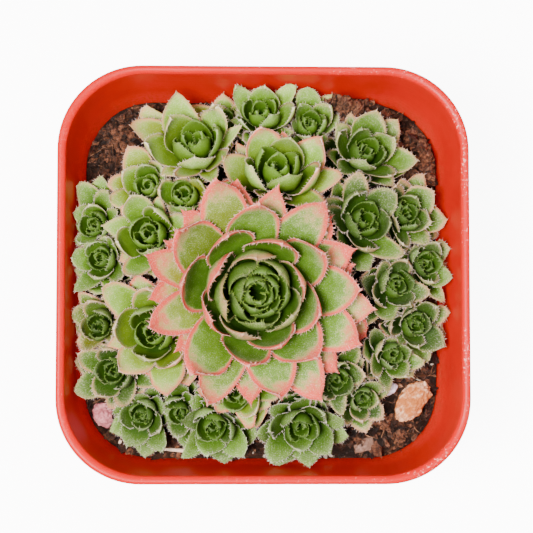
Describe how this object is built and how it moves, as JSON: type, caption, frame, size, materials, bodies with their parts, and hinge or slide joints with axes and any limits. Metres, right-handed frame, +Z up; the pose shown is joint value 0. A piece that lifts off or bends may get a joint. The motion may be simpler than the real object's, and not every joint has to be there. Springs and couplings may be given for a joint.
{
  "type": "potted rosularia",
  "caption": "Low succulent with a large leafy rosette ringed by small offset rosettes, growing in a square tapered plastic pot of soil.",
  "frame": {"origin": "middle of the pot's underside, on the surface that the pot stands on", "axes": "+Z up out of the pot's mouth, +X to the right and +Y away from the camera in the picture"},
  "size_m": [0.09, 0.0912, 0.0968],
  "materials": {
    "pot": "satin",
    "soil": "matte",
    "main_leaves": "matte",
    "offset_leaves": "matte",
    "pumice": "matte",
    "pink_stone": "matte",
    "lilac_stone": "matte",
    "straw": "matte",
    "bark": "matte"
  },
  "bodies": {
    "root": {"pot": "pot", "soil": "soil", "rosette_main": "main_leaves", "offset_01": "offset_leaves", "offset_02": "offset_leaves", "offset_03": "offset_leaves", "offset_04": "offset_leaves", "offset_05": "offset_leaves", "offset_06": "offset_leaves", "offset_07": "offset_leaves", "offset_08": "offset_leaves", "offset_09": "offset_leaves", "offset_10": "offset_leaves", "offset_11": "offset_leaves", "offset_12": "offset_leaves", "offset_13": "offset_leaves", "offset_14": "offset_leaves", "offset_15": "offset_leaves", "offset_16": "offset_leaves", "offset_17": "offset_leaves", "offset_18": "offset_leaves", "offset_19": "offset_leaves", "offset_20": "offset_leaves", "offset_21": "offset_leaves", "offset_22": "offset_leaves", "offset_23": "offset_leaves", "offset_24": "offset_leaves", "offset_25": "offset_leaves", "offset_26": "offset_leaves", "offset_27": "offset_leaves", "pumice_stone": "pumice", "pink_stone": "pink_stone", "lilac_pebble": "lilac_stone", "dry_stalk": "straw", "bark_chip": "bark"}
  },
  "joints": []
}
